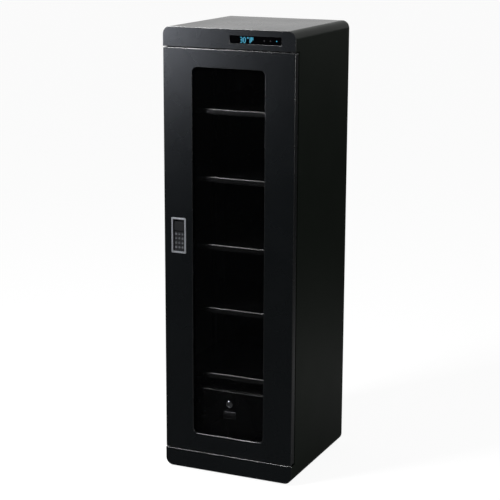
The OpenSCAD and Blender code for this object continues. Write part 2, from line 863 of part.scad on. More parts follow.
module lock_bolt() {
    color(steel) block([case_left_x, bolt_y, lock_mid_z - bolt_w / 2],
                       [case_left_x + bolt_len, bolt_y + bolt_t, lock_mid_z + bolt_w / 2]);
}

// A U of sheet that stands on the floor and carries the drawer's runners, with a lip that the lock catches
module drawer_housing() {
    color(charcoal) translate([drawer_x, 0, 0]) union() {
        for (x = [-housing_half_w - housing_t, housing_half_w])
            block([x, housing_y, floor_z], [x + housing_t, housing_back_y, cover_z + housing_t]);
        block([-housing_half_w - housing_t, drawer_y + fit_gap, cover_z],
              [housing_half_w + housing_t, housing_back_y, cover_z + housing_t]);
        block([-housing_half_w, housing_y, cover_z - cover_lip],
              [housing_half_w, housing_y + housing_t, cover_z]);
    }
}

// The two fixed channels on the housing's walls
module drawer_runners() {
    color(steel) translate([drawer_x, 0, 0]) for (side = [0, 1]) mirror([side, 0, 0]) difference() {
        block([housing_half_w - runner_w, housing_y + housing_t, runner_z - runner_h / 2],
              [housing_half_w, housing_back_y, runner_z + runner_h / 2]);
        block([housing_half_w - runner_w - over, housing_y - over, runner_z - rail_reach / 2 - slip],
              [housing_half_w - runner_t, housing_back_y + over, runner_z + rail_reach / 2 + slip]);
    }
}

// The drawer's front: a shallow pan with the lock's hole and a pressed finger pull
module drawer_front() {
    back = drawer_y + sheet_t;
    low = pull_top_z - pull_h;
    color(charcoal) translate([drawer_x, 0, 0]) difference() {
        union() {
            difference() {
                block([-drawer_w / 2, drawer_y, drawer_z],
                      [drawer_w / 2, drawer_y + drawer_return, drawer_top_z]);
                block([-drawer_w / 2 + sheet_t, back, drawer_z + sheet_t],
                      [drawer_w / 2 - sheet_t, drawer_y + drawer_return + over, drawer_top_z - sheet_t]);
            }
            prism_x(-pull_w / 2 - sheet_t, pull_w / 2 + sheet_t) polygon([
                [drawer_y, low - sheet_t], [back, low - sheet_t],
                [drawer_y + pull_d + sheet_t, pull_top_z - sheet_t],
                [drawer_y + pull_d + sheet_t, pull_top_z + sheet_t], [drawer_y, pull_top_z + sheet_t]]);
        }
        prism_x(-pull_w / 2, pull_w / 2) polygon([
            [drawer_y - over, low], [drawer_y, low], [drawer_y + pull_d, pull_top_z - sheet_t],
            [drawer_y + pull_d, pull_top_z], [drawer_y - over, pull_top_z]]);
        rod_y(barrel_r, 0, lock_up_z, drawer_y - over, back + over);
    }
}

// The drawer's box with the side rails that run in the channels
module drawer_tray() {
    low = [-tray_half_w, tray_front_y, drawer_tray_z];
    high = [tray_half_w, tray_back_y, drawer_tray_z + drawer_tray_h];
    color(dark) translate([drawer_x, 0, 0]) union() {
        difference() {
            block(low, high);
            block(low + [drawer_wall, drawer_wall, drawer_wall], high + [-drawer_wall, -drawer_wall, over]);
        }
        for (side = [0, 1]) mirror([side, 0, 0])
            block([tray_half_w, tray_front_y, runner_z - rail_reach / 2],
                  [tray_half_w + rail_reach, tray_back_y, runner_z + rail_reach / 2]);
        // Side arms that join the box to the front pan
        for (x = [-tray_half_w, tray_half_w - drawer_wall])
            block([x, drawer_y + sheet_t, drawer_tray_z + drawer_tray_h / 4],
                  [x + drawer_wall, tray_front_y + over, drawer_tray_z + drawer_tray_h * 3 / 4]);
    }
}

// The lock's fixed barrel with its ring on the drawer's front
module drawer_lock_barrel() {
    ring_t = 1.5;
    color(steel) translate([drawer_x, 0, 0]) difference() {
        union() {
            rod_y(drawer_lock_r, 0, lock_up_z, drawer_y - ring_t, drawer_y);
            rod_y(barrel_r, 0, lock_up_z, drawer_y - ring_t, drawer_y + barrel_len);
        }
        rod_y(plug_r + run_gap, 0, lock_up_z, drawer_y - ring_t - over, drawer_y + barrel_len + over);
    }
}

// The plug with its key slit and the cam behind the barrel
module drawer_lock_plug() {
    slit = [1.6, 4, 8];
    cam_y = drawer_y + barrel_len + slip;
    color(steel) translate([drawer_x, 0, 0]) union() {
        difference() {
            rod_y(plug_r, 0, lock_up_z, drawer_y - over, cam_y + cam_t);
            translate([0, drawer_y - over, lock_up_z]) rotate([0, 45, 0])
                translate([-slit[0] / 2, -over, -slit[2] / 2]) cube(slit + [0, over, 0]);
        }
        block([-cam_len, cam_y, lock_up_z - cam_w / 2], [0, cam_y + cam_t, lock_up_z + cam_w / 2]);
    }
}

// The bosses that hold a shutter's pins; face is the inner plane of the wall that they stand on
module shutter_bosses(face, inward) {
    for (up = [-1, 1]) {
        z = port_z + up * (shutter_h / 2 + slip);
        y = inward > 0 ? face : face - boss;
        translate([shutter_axis_x - boss / 2, y, up > 0 ? z : z - boss / 2]) cube([boss, boss, boss / 2]);
    }
}

// The drying unit's case on the cabinet's floor, open through one port inwards and one outwards
module dryer_case() {
    wall = dryer_wall;
    color([0.82, 0.83, 0.83]) difference() {
        union() {
            difference() {
                block([-dryer_w / 2, dryer_y, floor_z], [dryer_w / 2, inner_back_y, floor_z + dryer_h]);
                block([-dryer_w / 2 + wall, dryer_y + wall, floor_z + wall],
                      [dryer_w / 2 - wall, inner_back_y - wall, floor_z + dryer_h - wall]);
            }
            shutter_bosses(dryer_y + wall, 1);
            shutter_bosses(inner_back_y - wall, -1);
        }
        for (y = [dryer_y - over, inner_back_y - wall - over])
            block([-port_w / 2, y, port_z - port_h / 2],
                  [port_w / 2, y + wall + 2 * over, port_z + port_h / 2]);
        for (y = [inner_axis_y, outer_axis_y])
            translate([shutter_axis_x, y, port_z - shutter_h / 2 - slip - boss / 2 - over])
                cylinder(r = shutter_pin_r + run_gap, h = shutter_h + 2 * (slip + boss / 2 + over));
    }
}

// A shutter flap about its upright pin, turned by angle
module shutter(y, angle) {
    pin = shutter_h + 2 * slip + boss - 2 * fit_gap;
    color([0.2, 0.2, 0.21]) translate([shutter_axis_x, y, port_z]) rotate([0, 0, angle]) union() {
        translate([0, 0, -pin / 2]) cylinder(r = shutter_pin_r, h = pin);
        translate([0, -shutter_t / 2, -shutter_h / 2]) cube([shutter_w, shutter_t, shutter_h]);
    }
}

module inner_shutter() {
    shutter(inner_axis_y, shutter_open);
}

module outer_shutter() {
    shutter(outer_axis_y, 0);
}

module desiccant_pack() {
    color([0.6, 0.42, 0.25])
        block([-pack_w / 2, pack_y, floor_z + dryer_wall],
              [pack_w / 2, pack_y + pack_d, floor_z + dryer_h - dryer_wall - slip]);
}

module dryer_heater() {
    edge = 5;
    color(steel)
        block([-pack_w / 2 + edge, pack_y + pack_d, floor_z + dryer_wall],
              [pack_w / 2 - edge, pack_y + pack_d + heater_t, floor_z + dryer_h - dryer_wall - edge]);
}

// The slotted cover over the drying unit's outer port
module rear_vent_cover() {
    slats = 6;
    step = vent_h / (2 * slats + 1);
    low_z = port_z - vent_h / 2;
    color(dark) difference() {
        block([-vent_w / 2, back_y, low_z], [vent_w / 2, back_y + proud, low_z + vent_h]);
        for (k = [0 : slats - 1])
            block([-vent_slot_w / 2, back_y - over, low_z + step * (2 * k + 1)],
                  [vent_slot_w / 2, back_y + proud + over, low_z + step * (2 * k + 2)]);
    }
}

// The mains inlet in the back, a socket with three blades
module power_inlet() {
    wall = 2;
    lap = 3;
    blade = [2, 14, 5];
    blade_pitch = 7;
    socket_d = inlet_d - wall;
    color(black) translate([inlet_x, back_y, inlet_z]) union() {
        difference() {
            union() {
                block([-inlet_w / 2 + fit_gap, -inlet_d, -inlet_h / 2 + fit_gap],
                      [inlet_w / 2 - fit_gap, proud, inlet_h / 2 - fit_gap]);
                block([-inlet_w / 2 - lap, 0, -inlet_h / 2 - lap],
                      [inlet_w / 2 + lap, proud, inlet_h / 2 + lap]);
            }
            block([-inlet_w / 2 + wall, -socket_d, -inlet_h / 2 + wall],
                  [inlet_w / 2 - wall, proud + over, inlet_h / 2 - wall]);
        }
        for (k = [-1, 0, 1])
            translate([k * blade_pitch - blade[0] / 2, -socket_d - over, -inlet_h / 2 + 2 * wall])
                cube(blade);
    }
}

left_side_panel();
right_side_panel();
top_panel();
bottom_panel();
back_panel();
top_fascia();
plinth_fascia();
floor_panel();
ceiling_panel();
feet();
case_screws();
shelf_standards();
shelf_clips();
for (i = [1:5]) shelf(i);
display_window();
display_segments();
control_board();
humidity_sensor();
upper_hinge_pin();
lower_hinge_pin();
drawer_housing();
drawer_runners();
dryer_case();
desiccant_pack();
dryer_heater();
rear_vent_cover();
power_inlet();
inner_shutter();
outer_shutter();
door_frame();
door_inner_frame();
door_glass();
door_gasket();
hinge_bushes();
keypad_bezel();
keypad_tray();
keypad_board();
lock_case();
lock_bolt();
pull_paddle();
for (i = [1:KEY_COUNT]) key(i - 1);
drawer_front();
drawer_tray();
drawer_lock_barrel();
drawer_lock_plug();
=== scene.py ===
import json
import math

import bmesh
import bpy
from mathutils import Matrix, Vector


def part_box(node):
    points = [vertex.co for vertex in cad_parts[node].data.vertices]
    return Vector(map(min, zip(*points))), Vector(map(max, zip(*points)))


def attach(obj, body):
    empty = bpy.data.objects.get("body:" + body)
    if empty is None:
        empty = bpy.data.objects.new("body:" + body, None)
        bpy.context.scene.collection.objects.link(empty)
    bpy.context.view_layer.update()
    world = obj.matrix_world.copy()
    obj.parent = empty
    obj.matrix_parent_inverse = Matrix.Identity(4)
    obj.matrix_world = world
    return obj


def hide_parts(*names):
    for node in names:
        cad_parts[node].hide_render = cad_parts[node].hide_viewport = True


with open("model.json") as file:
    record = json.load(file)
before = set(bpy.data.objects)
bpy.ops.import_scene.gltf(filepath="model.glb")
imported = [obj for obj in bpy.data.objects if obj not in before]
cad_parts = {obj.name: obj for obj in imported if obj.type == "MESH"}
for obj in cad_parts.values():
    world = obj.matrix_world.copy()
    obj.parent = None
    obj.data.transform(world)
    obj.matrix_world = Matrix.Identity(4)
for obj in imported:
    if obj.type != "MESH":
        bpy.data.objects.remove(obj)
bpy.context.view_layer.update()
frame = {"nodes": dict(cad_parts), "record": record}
nodes = frame["nodes"]
scene = bpy.context.scene
MM = 0.001
SHARP = 35  # degrees between two faces from which their edge is rounded
SKIM = 0.05  # mm by which a point may be off the plane that it is looked for on


# ---------------------------------------------------------------- camera
def make_camera(place, yaw, pitch, roll, lens):
    """The photo's view, fitted to the cabinet's edges: place in metres, turns in degrees, lens in mm."""
    yaw, pitch, roll = (math.radians(angle) for angle in (yaw, pitch, roll))
    data = bpy.data.cameras.new("camera")
    data.sensor_width = 36
    data.lens = lens
    data.clip_end = 200
    camera = bpy.data.objects.new("camera", data)
    scene.collection.objects.link(camera)
    forward = Vector((-math.sin(yaw) * math.cos(pitch), math.cos(yaw) * math.cos(pitch), -math.sin(pitch)))
    turn = forward.to_track_quat("-Z", "Y").to_matrix() @ Matrix.Rotation(roll, 3, "Z")
    camera.matrix_world = Matrix.Translation(place) @ turn.to_4x4()
    scene.camera = camera


make_camera(place=(1.74884, -3.96169, 1.65805), yaw=24.09, pitch=13.3, roll=0.25, lens=108.878)


# ---------------------------------------------------------------- materials
class Shader:
    """A small builder for one node material."""

    def __init__(self, name):
        self.material = bpy.data.materials.new(name)
        self.material.use_nodes = True
        self.tree = self.material.node_tree
        self.tree.nodes.clear()
        self.out = self.add("ShaderNodeOutputMaterial")
        self.place = self.add("ShaderNodeTexCoord").outputs["Object"]  # metres in the object's own axes

    def add(self, kind, **values):
        node = self.tree.nodes.new(kind)
        for key, value in values.items():
            setattr(node, key, value)
        return node

    def link(self, source, target):
        self.tree.links.new(source, target)

    def stretched(self, scale, shift=(0, 0, 0)):
        node = self.add("ShaderNodeMapping")
        node.inputs["Location"].default_value = shift
        node.inputs["Scale"].default_value = scale
        self.link(self.place, node.inputs["Vector"])
        return node.outputs["Vector"]

    def noise(self, scale, detail=3.0, rough=0.5, place=None):
        node = self.add("ShaderNodeTexNoise")
        node.inputs["Scale"].default_value = scale
        node.inputs["Detail"].default_value = detail
        node.inputs["Roughness"].default_value = rough
        self.link(place or self.place, node.inputs["Vector"])
        return node.outputs["Fac"]

    def cells(self, scale, place=None):
        node = self.add("ShaderNodeTexVoronoi")
        node.inputs["Scale"].default_value = scale
        self.link(place or self.place, node.inputs["Vector"])
        return node.outputs["Distance"]

    def ramp(self, value, low, high, start=0.3, end=0.7):
        """Runs from low to high, each a grey level or a colour, between the values start and end."""
        node = self.add("ShaderNodeValToRGB")
        first, last = node.color_ramp.elements
        first.position, last.position = start, end
        first.color = (*low, 1) if hasattr(low, "__len__") else (low, low, low, 1)
        last.color = (*high, 1) if hasattr(high, "__len__") else (high, high, high, 1)
        self.link(value, node.inputs["Fac"])
        return node.outputs["Color"]

    def bump(self, height, depth, strength=1.0, under=None):
        """A relief of the given depth in metres, on top of the relief under."""
        node = self.add("ShaderNodeBump")
        node.inputs["Strength"].default_value = strength
        node.inputs["Distance"].default_value = depth
        self.link(height, node.inputs["Height"])
        if under is not None:
            self.link(under, node.inputs["Normal"])
        return node.outputs["Normal"]

    def surface(self, **values):
        """The Principled shader, with its sockets given by name as links, colours or plain values."""
        node = self.add("ShaderNodeBsdfPrincipled")
        for key, value in values.items():
            socket = node.inputs[key.replace("_", " ")]
            if isinstance(value, bpy.types.NodeSocket):
                self.link(value, socket)
            elif hasattr(value, "__len__") and len(value) == 3:
                socket.default_value = (*value, 1)
            else:
                socket.default_value = value
        self.link(node.outputs[0], self.out.inputs["Surface"])
        return node


def scaled(color, share):
    return tuple(c * share for c in color)


def powder_coat(name, color, rough, level, tint=(1, 1, 1), grain=1500, depth=3.5e-5):
    """Baked-on powder paint: a fine orange peel, a finer speckle and slow changes in tone and gloss."""
    s = Shader(name)
    slow = s.noise(2.2, 4, 0.6)
    peel = s.noise(grain, 2, 0.55)
    specks = s.cells(grain * 1.7)
    tone = s.ramp(slow, scaled(color, 0.86), scaled(color, 1.14), 0.35, 0.65)
    gloss = s.ramp(s.noise(9, 2, 0.5), rough - 0.015, rough + 0.02, 0.3, 0.7)
    grainy = s.bump(specks, depth * 0.5, 0.5)
    s.surface(Base_Color=tone, Roughness=gloss, Specular_IOR_Level=level, Specular_Tint=tint,
              Normal=s.bump(peel, depth, 0.6, grainy))
    return s.material


def moulded(name, color, rough, level=0.35, grain=2600, depth=2.5e-5):
    """Moulded plastic or rubber with a spark-eroded grain."""
    s = Shader(name)
    tone = s.ramp(s.noise(30, 4, 0.6), scaled(color, 0.88), scaled(color, 1.12), 0.35, 0.65)
    gloss = s.ramp(s.noise(55, 4, 0.6), rough - 0.05, rough + 0.05, 0.3, 0.7)
    s.surface(Base_Color=tone, Roughness=gloss, Specular_IOR_Level=level,
              Normal=s.bump(s.noise(grain, 3, 0.6), depth, 0.7))
    return s.material


def metal(name, color, rough, stretch=(1, 1, 1), lines=900, depth=8e-6, stain=0.1):
    """Bare, plated or brushed metal; stretch draws the fine scratches out along one axis."""
    s = Shader(name)
    place = s.stretched(stretch)
    scratches = s.noise(lines, 5, 0.7, place)
    tone = s.ramp(s.noise(70, 4, 0.6), scaled(color, 1 - stain), color, 0.35, 0.65)
    gloss = s.ramp(scratches, rough * 0.75, rough * 1.3, 0.3, 0.7)
    s.surface(Base_Color=tone, Roughness=gloss, Metallic=1.0, Normal=s.bump(scratches, depth, 0.5))
    return s.material


def glossy_panel(name, color, rough, level):
    """A polished plastic window with the faint waves of a moulding and fine wiping marks."""
    s = Shader(name)
    tone = s.ramp(s.noise(12, 3), scaled(color, 0.9), scaled(color, 1.1))
    gloss = s.ramp(s.noise(90, 6, 0.75, s.stretched((1, 1, 5))), rough * 0.6, rough * 1.6, 0.4, 0.75)
    s.surface(Base_Color=tone, Roughness=gloss, Specular_IOR_Level=level,
              Normal=s.bump(s.noise(8, 2), 2e-5, 0.3))
    return s.material


def lit(name, color, strength):
    """A lit figure, slightly uneven from bar to bar."""
    s = Shader(name)
    glow = s.ramp(s.noise(400, 2), scaled(color, 0.8), color, 0.3, 0.6)
    s.surface(Base_Color=scaled(color, 0.3), Roughness=0.35, Emission_Color=glow, Emission_Strength=strength)
    return s.material


def tinted_glass(name):
    """A grey tinted pane; each of its two faces lets most of the light through."""
    s = Shader(name)
    tone = s.ramp(s.noise(3, 3), (0.001, 0.0011, 0.0012), (0.0014, 0.0015, 0.0016))
    gloss = s.ramp(s.noise(25, 6, 0.75), 0.02, 0.07, 0.45, 0.8)
    s.surface(Base_Color=tone, Roughness=gloss, Alpha=0.3, Specular_IOR_Level=0.05)
    return s.material


def circuit_board(name):
    """Green solder resist with the tracks showing through it."""
    s = Shader(name)
    tracks = s.add("ShaderNodeTexBrick")
    values = {"Scale": 260, "Mortar Size": 0.05, "Color1": (0.008, 0.07, 0.03, 1),
              "Color2": (0.012, 0.095, 0.04, 1), "Mortar": (0.03, 0.19, 0.08, 1)}
    for socket, value in values.items():
        tracks.inputs[socket].default_value = value
    s.link(s.place, tracks.inputs["Vector"])
    s.surface(Base_Color=tracks.outputs["Color"], Roughness=s.ramp(s.noise(200, 3), 0.3, 0.45),
              Normal=s.bump(tracks.outputs["Fac"], 3e-5, 0.5))
    return s.material


def porous(name, color):
    """A pressed pack of grains."""
    s = Shader(name)
    grains = s.cells(420)
    s.surface(Base_Color=s.ramp(grains, scaled(color, 1.2), scaled(color, 0.5), 0.1, 0.6), Roughness=0.9,
              Normal=s.bump(grains, 6e-4, 0.9))
    return s.material


# Each finish: its maker, and the maker's values after the name
finishes = {
    # the casing coat's bluish reflection tint is a painted tint of the light, copying the bluish lamps' sheen
    "casing_coat": (powder_coat, (0.0016, 0.0021, 0.0024), 0.27, 0.19, (0.92, 0.97, 1.0)),
    "rubbed_coat": (powder_coat, (0.0016, 0.0021, 0.0024), 0.25, 0.9),
    # the side finish is the same black coat made to reflect less and tinted green: painted shade and a painted
    # green cast of light bounced off the floor
    "side_coat": (powder_coat, (0.003, 0.0046, 0.003), 0.36, 0.04, (0.8, 1.0, 0.82)),
    # the inner coat is the same black coat made darker still: painted shade for the cabinet's inside
    "inner_coat": (powder_coat, (0.0009, 0.001, 0.0011), 0.27, 0.2),
    "shelf_coat": (powder_coat, (0.003, 0.0031, 0.0033), 0.25, 0.7),
    "foot_rubber": (moulded, (0.016, 0.016, 0.017), 0.8, 0.2),
    "gasket_rubber": (moulded, (0.012, 0.012, 0.013), 0.7, 0.2),
    "zinc_steel": (metal, (0.55, 0.56, 0.58), 0.34, (1, 1, 0.06)),
    "display_gloss": (glossy_panel, (0.0006, 0.0006, 0.0008), 0.08, 0.06),
    "display_light": (lit, (0.02, 0.4, 0.6), 0.5),
    "circuit_board": (circuit_board,),
    "pale_plastic": (moulded, (0.55, 0.56, 0.56), 0.5),
    "dim_mark": (moulded, (0.03, 0.03, 0.032), 0.5, 0.1),
    "black_plastic": (moulded, (0.0055, 0.006, 0.0065), 0.42, 0.2),
    "desiccant": (porous, (0.3, 0.18, 0.09)),
    "door_tint": (tinted_glass,),
    "bright_chrome": (metal, (0.66, 0.68, 0.7), 0.3, (1, 1, 1), 600, 3e-6, 0.05),
    "lock_chrome": (metal, (0.52, 0.53, 0.55), 0.13, (1, 1, 1), 600, 3e-6, 0.05),
    "key_metal": (metal, (0.2, 0.205, 0.215), 0.3, (0.08, 1, 1), 1400),
}
coats = {name: make(name, *values) for name, (make, *values) in finishes.items()}
slots = {entry["node"]: entry["material_slot"] for entry in frame["record"]["subparts"]}
bodies = {node: body for body, members in frame["record"]["behaviour"]["bodies"].items() for node in members}
for name, obj in nodes.items():
    obj.data.materials.clear()
    obj.data.materials.append(coats[slots[name]])


# ---------------------------------------------------------------- pieces
def piece(name, bm, body, slot, *replaced, extra=(), smooth=38, finish=None):
    """Turns a bmesh into a piece of the object with its finish, its body and the CAD nodes it stands for."""
    mesh = bpy.data.meshes.new(name)
    bm.to_mesh(mesh)
    bm.free()
    for coat in (finish or slot, *extra):
        mesh.materials.append(coats[coat])
    mesh.shade_smooth()
    mesh.set_sharp_from_angle(angle=math.radians(smooth))
    obj = bpy.data.objects.new(name, mesh)
    scene.collection.objects.link(obj)
    obj.modifiers.new("even_normals", "WEIGHTED_NORMAL").keep_sharp = True
    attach(obj, body)
    if replaced:
        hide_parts(*replaced)
    return obj


def middle(edge):
    """An edge's midpoint in millimetres."""
    return (edge.verts[0].co + edge.verts[1].co) / (2 * MM)


def rounded(node, *rounds, coat=0):
    """A CAD node's mesh with its sharp edges rounded, and the material slot coat on the new faces.
    Each round is (radius in mm, segments, test of an edge's midpoint)."""
    bm = bmesh.new()
    bm.from_mesh(nodes[node].data)
    bmesh.ops.remove_doubles(bm, verts=bm.verts[:], dist=2e-6)
    bmesh.ops.dissolve_limit(bm, angle_limit=math.radians(0.3), verts=bm.verts[:], edges=bm.edges[:])
    for radius, segments, test in rounds:
        sharp = [e for e in bm.edges
                 if len(e.link_faces) == 2 and e.calc_face_angle(0) > math.radians(SHARP) and test(middle(e))]
        bmesh.ops.bevel(bm, geom=sharp, offset=radius * MM, segments=segments, profile=0.5, affect="EDGES",
                        clamp_overlap=True, material=coat)
    return bm


def finished(node, bm, **more):
    """A piece that takes its CAD node's place, body and slot."""
    return piece(node + "_finished", bm, bodies[node], slots[node], node, **more)


def soften(node, *rounds, **more):
    """A CAD node with rounds; where there is an extra finish, it goes on them."""
    return finished(node, rounded(node, *rounds, coat=1 if more.get("extra") else 0), **more)


def lathe(profile, x, z, steps=40, closed=False):
    """Turns (radius, y) points in mm about the Y line through x and z; a closed profile makes a ring."""
    bm = bmesh.new()
    rings = []
    for radius, y in profile:
        if radius < 1e-6:
            rings.append([bm.verts.new((x * MM, y * MM, z * MM))])
            continue
        turn = [2 * math.pi * k / steps for k in range(steps)]
        rings.append([bm.verts.new(((x + radius * math.cos(a)) * MM, y * MM, (z + radius * math.sin(a)) * MM))
                      for a in turn])
    pairs = list(zip(rings, rings[1:]))
    if closed:
        pairs.append((rings[-1], rings[0]))
    for a, b in pairs:
        for k in range(steps):
            n = (k + 1) % steps
            if len(a) == 1:
                bm.faces.new((a[0], b[k], b[n]))
            elif len(b) == 1:
                bm.faces.new((a[k], b[0], a[n]))
            else:
                bm.faces.new((a[k], b[k], b[n], a[n]))
    bmesh.ops.recalc_face_normals(bm, faces=bm.faces[:])
    return bm


def add_mesh(bm, mesh, index=0):
    """Adds another mesh's faces to bm with the material slot index."""
    known = set(bm.faces)
    bm.from_mesh(mesh)
    for face in bm.faces:
        if face not in known:
            face.material_index = index


def add_solid(bm, other):
    """Adds another bmesh to bm."""
    mesh = bpy.data.meshes.new("part")
    other.to_mesh(mesh)
    other.free()
    bm.from_mesh(mesh)


def low_high(node):
    """The corners of a CAD node's box in mm."""
    low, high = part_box(node)
    return low / MM, high / MM


# Casing: the fascias' front edges and the body's front corners are bends, the rest is flush sheet
(_, front, _), (_, _, top) = low_high("top_fascia")
(left, _, _), (right, _, plinth_top) = low_high("plinth_fascia")
window_low, window_high = low_high("display_window")
flange_y = low_high("floor_panel")[0].y


def near_display(m):
    return window_low.x < m.x < window_high.x and window_low.z < m.z < window_high.z


def sheet_skin(node, *rounds):
    """A front sheet with rubbed rounds and with the side panels' finish on its ends; that finish is painted
    shade, a darker, greener copy of the coat.
    """
    straight, aslant, bend_deep = 0.98, 0.15, 2.2
    bm = rounded(node, *rounds, coat=1)
    for face in bm.faces:
        n, m = face.normal, face.calc_center_median() / MM
        # the end faces get the side finish, with its painted shade and painted green cast
        if abs(n.x) > straight and abs(m.x) > right - 0.1:
            face.material_index = 2
        elif -straight < n.y < -aslant and m.y < front + bend_deep:
            face.material_index = 1
    finished(node, bm, extra=("rubbed_coat", "side_coat"))


sheet_skin("top_fascia",
           (2.2, 5, lambda m: m.y < front + SKIM and not near_display(m)),
           (0.35, 2, lambda m: m.y < front + SKIM and near_display(m)))
sheet_skin("plinth_fascia",
           (4.5, 7, lambda m: m.y < front + SKIM and m.z > plinth_top - SKIM),
           (1.4, 4, lambda m: m.y < front + SKIM and m.z < plinth_top - 5))
# the side panels take the side finish: painted shade and a painted green cast on the black coat
for side, x in (("left_side_panel", left), ("right_side_panel", right)):
    soften(side, (1.05, 4, lambda m, x=x: abs(m.x - x) < SKIM and abs(m.y - flange_y) < SKIM),
           finish="side_coat")

# Door: the folded edge round the window, and the inner frame's edges
window_side = 120
sheet_skin("door_frame", (1.6, 4, lambda m: m.y < front + SKIM and abs(m.x) < window_side))
inner_back = low_high("door_inner_frame")[1].y
soften("door_inner_frame", (0.5, 3, lambda m: m.y > inner_back - SKIM))


def ring_of(points, low, high):
    """A mitred frame round the XZ rectangle low to high; points are (outwards, y) in mm, in order."""
    bm = bmesh.new()
    corners = ((low.x, low.z, -1, -1), (high.x, low.z, 1, -1), (high.x, high.z, 1, 1), (low.x, high.z, -1, 1))
    loops = [[bm.verts.new(((x + sx * u) * MM, y * MM, (z + sz * u) * MM)) for u, y in points]
             for x, z, sx, sz in corners]
    for a, b in zip(loops, loops[1:] + loops[:1]):
        for k in range(len(points)):
            n = (k + 1) % len(points)
            bm.faces.new((a[k], a[n], b[n], b[k]))
    bmesh.ops.recalc_face_normals(bm, faces=bm.faces[:])
    return bm


# Gasket: a barbed base, thin bellows and the rounded magnet strip that meets the body
low, high = low_high("door_gasket")
y0, y1 = low.y, high.y
wide = 10.0  # of the strip, from its outer edge inwards
half = [(0.0, y0), (0.0, y0 + 0.9), (-1.1, y0 + 1.2), (-2.1, y0 + 1.7), (-1.3, y0 + 2.2), (-1.2, y0 + 2.6),
        (-0.4, y0 + 2.9), (-0.05, y0 + 3.3), (-0.05, y1 - 0.55), (-0.3, y1 - 0.15), (-0.9, y1)]
profile = half + [(-wide - u, y) for u, y in reversed(half)]
piece("gasket_profile", ring_of(profile, low, high), "door", "gasket_rubber", "door_gasket", smooth=50)

# Keypad lock
bezel_y = low_high("keypad_bezel")[0].y
tray_rim, paddle_foot, paddle_face = 3.2, 722, -198.6
soften("keypad_bezel", (1.15, 5, lambda m: m.y < bezel_y + SKIM))
soften("keypad_tray", (0.35, 2, lambda m: m.y < front + tray_rim))
soften("pull_paddle", (0.7, 3, lambda m: m.z > paddle_foot and m.y < paddle_face))


def label_mesh(text, size, x, y, z):
    """A plain figure as a thin solid that faces the front."""
    curve = bpy.data.curves.new("label", "FONT")
    curve.body = text
    curve.size = size * MM
    curve.extrude = 0.05 * MM
    curve.align_x = "CENTER"
    curve.align_y = "CENTER"
    holder = bpy.data.objects.new("label", curve)
    scene.collection.objects.link(holder)
    mesh = bpy.data.meshes.new_from_object(holder)
    bpy.data.objects.remove(holder)
    mesh.transform(Matrix.Translation((x * MM, y * MM, z * MM)) @ Matrix.Rotation(math.radians(90), 4, "X"))
    return mesh


cap_r, flange_r, flange_t, figure_tall = 3.0, 3.9, 0.8, 3.0
for k, figure in enumerate("123456789*0#", start=1):
    node = f"key_{k}"
    low, high = low_high(node)
    x, z = (low.x + high.x) / 2, (low.z + high.z) / 2
    y, back = low.y, high.y
    dish = [(0, y + 0.34), (1.0, y + 0.31), (1.8, y + 0.2), (2.3, y + 0.06), (2.5, y), (2.72, y + 0.03),
            (2.9, y + 0.14), (cap_r, y + 0.34), (cap_r, back - flange_t), (flange_r, back - flange_t),
            (flange_r, back), (0, back)]
    bm = lathe(dish, x, z, 32)
    add_mesh(bm, label_mesh(figure, figure_tall, x, y + 0.3, z), 1)
    piece(f"key_cap_{k}", bm, bodies[node], "key_metal", node, extra=("black_plastic",))

# Drawer, and the shelves with their own lips smoothed
front_low, front_high = low_high("drawer_front")
housing_y = low_high("drawer_housing")[0].y
soften("drawer_front",
       (1.8, 4, lambda m: m.y < front_low.y + SKIM and m.z > front_high.z - 1),
       (0.5, 3, lambda m: m.y < front_low.y + SKIM and m.z < front_high.z - 3), extra=("shelf_coat",))
soften("drawer_housing", (0.5, 3, lambda m: m.y < housing_y + SKIM), extra=("shelf_coat",))
for k in range(1, 6):
    soften(f"shelf_{k}")


def extruded(points, x0, x1):
    """A solid with the (y, z) outline given in mm between x0 and x1."""
    bm = bmesh.new()
    ends = [[bm.verts.new((x * MM, y * MM, z * MM)) for y, z in points] for x in (x0, x1)]
    for k in range(len(points)):
        n = (k + 1) % len(points)
        bm.faces.new((ends[0][k], ends[0][n], ends[1][n], ends[1][k]))
    for end in ends:
        bm.faces.new(end)
    bmesh.ops.recalc_face_normals(bm, faces=bm.faces[:])
    return bm


# Finger pull: the pressed recess rolls inwards towards a slot at its top
pull_low, pull_tall, pull_half, pull_deep = 163.5, 26, 21, 9
roll_deep, roll_share, roll_steps, roll_power = 5, 0.88, 16, 2.2
middle_x = (front_low.x + front_high.x) / 2
y = front_low.y
roll = []
for k in range(roll_steps + 1):
    share = k / roll_steps
    roll.append((y + roll_deep * share ** roll_power, pull_low + pull_tall * roll_share * share))
roll += [(y + roll_deep + 0.5, roll[-1][1] + 0.35), (y + roll_deep + 1.2, roll[-1][1] + 0.4)]
roll += [(y + pull_deep * roll_share, roll[-1][1] - 0.3), (y + 0.2, pull_low)]
piece("pull_roll", extruded(roll, middle_x - pull_half, middle_x + pull_half), "drawer", "inner_coat",
      finish="shelf_coat")

# Drawer lock: a conical collar round the barrel, and the plug whose key slit walls are painted black as painted
# shade
low, high = low_high("drawer_lock_barrel")
lock_x, lock_z, y = (low.x + high.x) / 2, (low.z + high.z) / 2, low.y
bore, barrel_r, collar_deep = 6.55, 9.0, 1.5
collar = [(bore, y + 0.4), (6.8, y + 0.1), (7.2, y), (7.6, y + 0.08), (8.6, y + 0.45), (9.6, y + 0.89),
          (10.6, y + 1.34), (10.9, y + collar_deep), (barrel_r, y + collar_deep), (barrel_r, high.y),
          (bore, high.y)]
piece("lock_collar", lathe(collar, lock_x, lock_z, 56, closed=True), "drawer", "bright_chrome",
      "drawer_lock_barrel", finish="lock_chrome")
plug_y, slit_reach, slit_deep = low_high("drawer_lock_plug")[0].y, 5, 4.2


